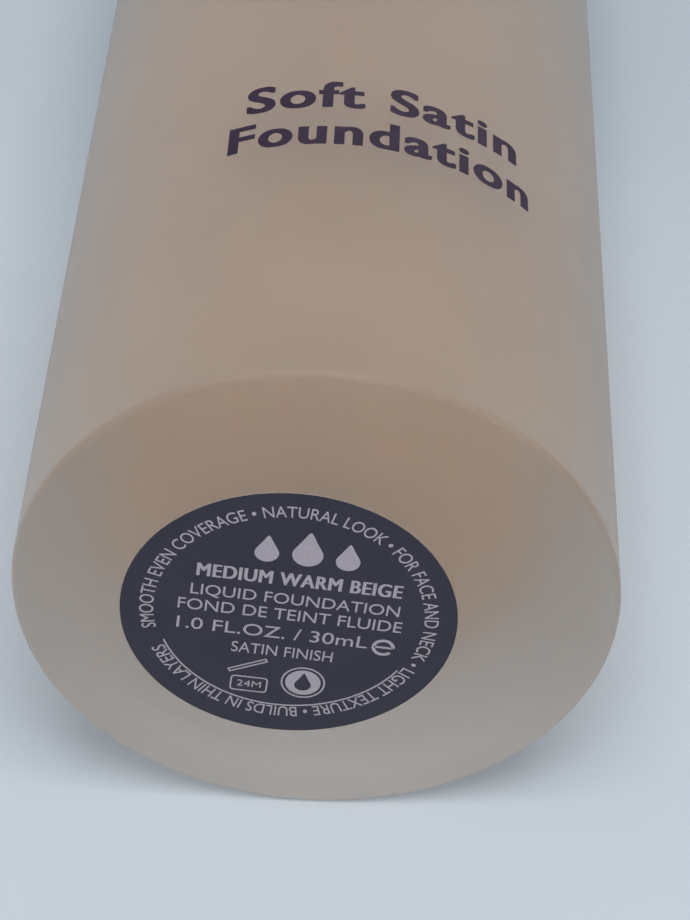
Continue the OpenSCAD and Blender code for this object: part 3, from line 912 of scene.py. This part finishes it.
class FOUNDATION_OT_wind_spring(bpy.types.Operator):
    """Winds the return spring at its rest length; here it does not shorten as the button goes down"""

    bl_idname = "foundation.wind_spring"
    bl_label = "Wind the spring"

    def execute(self, context):
        settings = context.scene.bottle_spring
        rows = round(settings.turns * settings.steps) + 1
        wire = settings.wire / 2
        coil = SPRING_HIGH.x - wire
        # The middle of the wire climbs one wire at each closed end turn and evenly between them
        turn = np.linspace(0, settings.turns, rows)
        low, high = SPRING_LOW.z + wire, SPRING_HIGH.z - wire
        climb = np.interp(turn, [0, 1, settings.turns - 1, settings.turns],
                          [low, low + settings.wire, high - settings.wire, high])
        around = np.arange(settings.sides) * 2 * np.pi / settings.sides
        angle = (turn * 2 * np.pi)[:, None]
        r = coil + wire * np.cos(around)[None, :]
        z = climb[:, None] + wire * np.sin(around)[None, :]
        points = np.stack([r * np.cos(angle), r * np.sin(angle), z], axis=-1).reshape(-1, 3)
        faces = grid_faces(rows, settings.sides, False, True)[:, ::-1].tolist()
        first = list(range(settings.sides))
        faces += [first, [(rows - 1) * settings.sides + k for k in reversed(first)]]
        spring = new_piece("coil_spring", points, faces, bright_steel())
        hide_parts("return_spring")
        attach(spring, "pump")
        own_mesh(spring)
        return {"FINISHED"}


class FOUNDATION_OT_finish_pump(bpy.types.Operator):
    """Finishes the plastic, foam and steel of the pump, the collar and the overcap"""

    bl_idname = "foundation.finish_pump"
    bl_label = "Finish the pump and overcap"

    def execute(self, context):
        settings = context.scene.bottle_plastic
        finishes = {
            polished_plastic(settings): ("collar_sleeve", "actuator_shell", "overcap_shell"),
            white_plastic(settings): ("closure", "piston_seat", "stem", "chaplet", "actuator_core"),
            natural_plastic(): ("pump_housing", "dip_tube", "piston", "nozzle_insert", "overcap_liner"),
            gasket_foam(): ("neck_gasket",),
            bright_steel(): ("ball_valve",)}
        for material, names in finishes.items():
            for name in names:
                finish_node(name, material)
        return {"FINISHED"}


# -------------------------------------------------------------------- stage


def one_sided(name, settings):
    """A pale matt sheet that only shows from its front."""
    material, tree = new_material(name)
    cloud = noise(tree, place_mm(tree), 60.0, detail=3.0)
    colour = clouded(tree, cloud, settings.floor, 0.985, 1.0)
    front = node(tree, "ShaderNodeBsdfDiffuse", {"Color": colour}).outputs[0]
    back = node(tree, "ShaderNodeBsdfTransparent").outputs[0]
    side = node(tree, "ShaderNodeNewGeometry").outputs["Backfacing"]
    mixed = node(tree, "ShaderNodeMixShader", {"Fac": side, 1: front, 2: back})
    output = node(tree, "ShaderNodeOutputMaterial")
    tree.links.new(mixed.outputs[0], output.inputs["Surface"])
    return material


def stage_sheet(name, corner, along, across, material):
    """A flat sheet from a corner and two sides. Only the camera sees it, so it gives no shadow or light."""
    corner, along, across = Vector(corner), Vector(along), Vector(across)
    points = [corner, corner + along, corner + along + across, corner + across]
    sheet = new_piece(name, np.array(points), [[0, 1, 2, 3]], material, smooth=False)
    for ray in ("diffuse", "glossy", "transmission", "volume_scatter", "shadow"):
        setattr(sheet, "visible_" + ray, False)


def soft_lamp(name, power, size, away, aim):
    """A square lamp of that size, at a place, turned to an aim."""
    lamp = bpy.data.lights.new(name, "AREA")
    lamp.energy = power
    lamp.shape = "SQUARE"
    lamp.size = size
    place = bpy.data.objects.new(name, lamp)
    bpy.context.scene.collection.objects.link(place)
    place.location = away
    place.rotation_mode = "QUATERNION"
    place.rotation_quaternion = (Vector(aim) - Vector(away)).to_track_quat("-Z", "Y")
    place.visible_camera = False


class FOUNDATION_OT_set_stage(bpy.types.Operator):
    """Sets the floor, the tabletop that the bottle lies on, the soft light and the camera"""

    bl_idname = "foundation.set_stage"
    bl_label = "Set the stage"

    def execute(self, context):
        settings = context.scene.bottle_stage
        matt = one_sided("stage_sheet", settings)
        reach = STAGE_REACH
        stage_sheet("floor", (-reach, -reach, -FLOOR_GAP), (2 * reach, 0, 0), (0, 2 * reach, 0), matt)
        turn = settings.lean
        out = Vector((-math.sin(turn), math.cos(turn), 0))
        along = Vector((math.cos(turn), math.sin(turn), 0))
        corner = out * BODY_R - along * reach - Vector((0, 0, reach))
        stage_sheet("tabletop", corner, along * 2 * reach, (0, 0, 2 * reach), matt)
        self.lights(context, settings)
        self.camera(context, settings)
        context.scene.view_settings.view_transform = "Standard"
        return {"FINISHED"}

    def lights(self, context, settings):
        """Even light all round, stronger from the tabletop's side, and the soft lamps."""
        world = bpy.data.worlds.new("even_light")
        world.use_nodes = True
        tree = world.node_tree
        way = node(tree, "ShaderNodeTexCoord").outputs["Generated"]
        toward = node(tree, "ShaderNodeSeparateXYZ", {"Vector": way}).outputs["Y"]
        back = spread(tree, toward, 0.0, 1.0, -0.25, 0.25)
        tree.links.new(blend_colours(tree, back, settings.sky, settings.bounce),
                       tree.nodes["Background"].inputs["Color"])
        context.scene.world = world
        for lamp in LAMPS:
            soft_lamp(*lamp)

    def camera(self, context, settings):
        """The camera, on a sphere about its aim, rolled about its own view."""
        a, e = settings.azimuth, settings.elevation
        back = Vector((math.sin(a) * math.cos(e), -math.cos(a) * math.cos(e), math.sin(e)))
        data = bpy.data.cameras.new("camera")
        data.lens = settings.lens
        data.clip_start = 1 * MM
        data.clip_end = 10
        camera = bpy.data.objects.new("camera", data)
        context.scene.collection.objects.link(camera)
        camera.location = Vector(settings.aim) + back * settings.distance
        camera.rotation_mode = "QUATERNION"
        camera.rotation_quaternion = (-back).to_track_quat("-Z", "Y") @ Quaternion((0, 0, 1), settings.roll)
        context.scene.camera = camera


class FOUNDATION_PT_panel(bpy.types.Panel):
    """Lists the pieces of the bottle"""

    bl_label = "Foundation Bottle"
    bl_idname = "FOUNDATION_PT_panel"
    bl_space_type = "VIEW_3D"
    bl_region_type = "UI"
    bl_category = "Foundation Bottle"

    def draw(self, context):
        for operator in OPERATORS:
            self.layout.operator(operator.bl_idname)


SETTINGS = {
    "bottle_glass": GlassSettings,
    "bottle_liquid": LiquidSettings,
    "bottle_print": PrintSettings,
    "bottle_label": LabelSettings,
    "bottle_spring": SpringSettings,
    "bottle_plastic": PlasticSettings,
    "bottle_stage": StageSettings,
}
OPERATORS = (
    FOUNDATION_OT_frost_glass,
    FOUNDATION_OT_fill_liquid,
    FOUNDATION_OT_print_side,
    FOUNDATION_OT_print_label,
    FOUNDATION_OT_wind_spring,
    FOUNDATION_OT_finish_pump,
    FOUNDATION_OT_set_stage,
)


def register():
    """Adds the settings, the operators and the panel to Blender."""
    for group in SETTINGS.values():
        bpy.utils.register_class(group)
    for name, group in SETTINGS.items():
        setattr(bpy.types.Scene, name, PointerProperty(type=group))
    for operator in OPERATORS:
        bpy.utils.register_class(operator)
    bpy.utils.register_class(FOUNDATION_PT_panel)


def unregister():
    """Takes them away again."""
    bpy.utils.unregister_class(FOUNDATION_PT_panel)
    for operator in reversed(OPERATORS):
        bpy.utils.unregister_class(operator)
    for name, group in SETTINGS.items():
        delattr(bpy.types.Scene, name)
        bpy.utils.unregister_class(group)


def main():
    """Makes every piece in order."""
    register()
    for operator in OPERATORS:
        group, action = operator.bl_idname.split(".")
        getattr(getattr(bpy.ops, group), action)()


if __name__ == "__main__":
    main()
